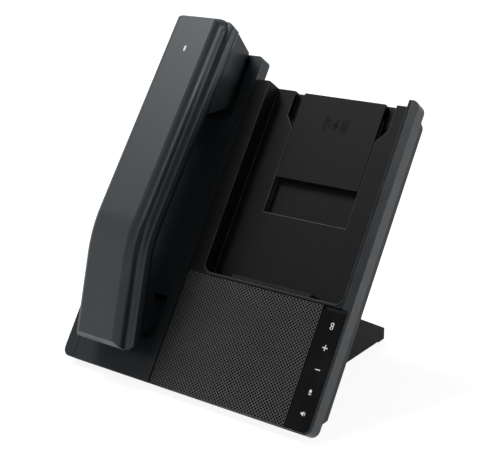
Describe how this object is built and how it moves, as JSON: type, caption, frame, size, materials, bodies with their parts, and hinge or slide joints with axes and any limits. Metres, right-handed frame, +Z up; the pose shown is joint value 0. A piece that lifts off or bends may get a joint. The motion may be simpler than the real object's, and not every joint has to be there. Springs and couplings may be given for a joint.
{
  "type": "desktop telephone dock with cordless handset",
  "caption": "Leaning desk dock with a lift-off handset on its left, a phone charging tray with sliding plate, speaker grille, touch strip and rear stand.",
  "frame": {"origin": "on the table, in the middle of the front rubber foot's underside", "axes": "+Z up, +X to the user's right, +Y away from the user"},
  "size_m": [0.182, 0.1549, 0.2056],
  "materials": {
    "slate_shell": "fine satin texture",
    "dark_shell": "fine matt texture",
    "cradle_plastic": "satin",
    "tray_plastic": "matt",
    "rubber": "matt",
    "grille": "fine diagonal weave",
    "gloss_black": "gloss",
    "white_print": "flat print",
    "circuit_board": "solder mask",
    "screw_steel": "plated",
    "inlet_steel": "plated",
    "paper_cone": "pressed paper",
    "gold": "gold plate",
    "copper": "enamelled copper",
    "ferrite": "matt",
    "symbol_print": "embossed",
    "handset_plastic": "satin",
    "handset_inner": "satin",
    "battery_wrap": "shrink film",
    "stand_plastic": "matt"
  },
  "bodies": {
    "dock": {"front_shell": "slate_shell", "rear_cover": "dark_shell", "cradle_panel": "cradle_plastic", "phone_tray": "tray_plastic", "phone_rest_pad": "rubber", "speaker_grille": "grille", "touch_strip": "gloss_black", "touch_icons": "white_print", "touch_board": "circuit_board", "main_board": "circuit_board", "board_screws": "screw_steel", "speaker_gasket": "rubber", "speaker_frame": "dark_shell", "speaker_cone": "paper_cone", "speaker_magnet": "screw_steel", "dock_microphones": "screw_steel", "power_inlet": "inlet_steel", "ballast_plate": "screw_steel", "cradle_magnet": "inlet_steel", "front_foot": "rubber", "cover_screws": "screw_steel", "charge_pin_block": "gloss_black"},
    "left_pin": {"charge_pin_left": "gold"},
    "right_pin": {"charge_pin_right": "gold"},
    "charger": {"charging_plate": "tray_plastic", "charging_coil": "copper", "coil_shield": "ferrite", "plate_base": "tray_plastic", "charge_symbol": "symbol_print"},
    "handset": {"handset_outer_shell": "handset_plastic", "handset_inner_shell": "handset_inner", "status_light": "white_print", "ear_cap": "gloss_black", "ear_gasket": "rubber", "ear_receiver": "inlet_steel", "handset_contacts": "gold", "handset_microphone": "inlet_steel", "microphone_boot": "rubber", "handset_board": "circuit_board", "handset_battery": "battery_wrap", "handset_screws": "screw_steel"},
    "call_button": {"call_key": "rubber"},
    "mute_button": {"mute_key": "rubber"},
    "stand": {"stand_body": "stand_plastic", "stand_pads": "rubber"}
  },
  "joints": [
    {"name": "handset_lift", "type": "slide", "parent": "dock", "child": "handset", "axis": [0, -0.829, 0.5592], "range_m": [0, 0.08]},
    {"name": "charger_slide", "type": "slide", "parent": "dock", "child": "charger", "axis": [0, 0.5592, 0.829], "range_m": [-0.0225, 0]},
    {"name": "stand_unhook", "type": "slide", "parent": "dock", "child": "stand", "axis": [0, -0.5592, -0.829], "range_m": [0, 0.005]},
    {"name": "left_pin_press", "type": "slide", "parent": "dock", "child": "left_pin", "axis": [0, -0.829, 0.5592], "range_m": [-0.0008, 0], "stiffness_N_per_m": 300, "springref_m": 0.0004},
    {"name": "right_pin_press", "type": "slide", "parent": "dock", "child": "right_pin", "axis": [0, -0.829, 0.5592], "range_m": [-0.0008, 0], "stiffness_N_per_m": 300, "springref_m": 0.0004},
    {"name": "call_key_press", "type": "slide", "parent": "handset", "child": "call_button", "axis": [0, 0.8018, -0.5976], "range_m": [-0.0006, 0], "stiffness_N_per_m": 800, "springref_m": 0.0003},
    {"name": "mute_key_press", "type": "slide", "parent": "handset", "child": "mute_button", "axis": [0, 0.8018, -0.5976], "range_m": [-0.0006, 0], "stiffness_N_per_m": 800, "springref_m": 0.0003}
  ]
}
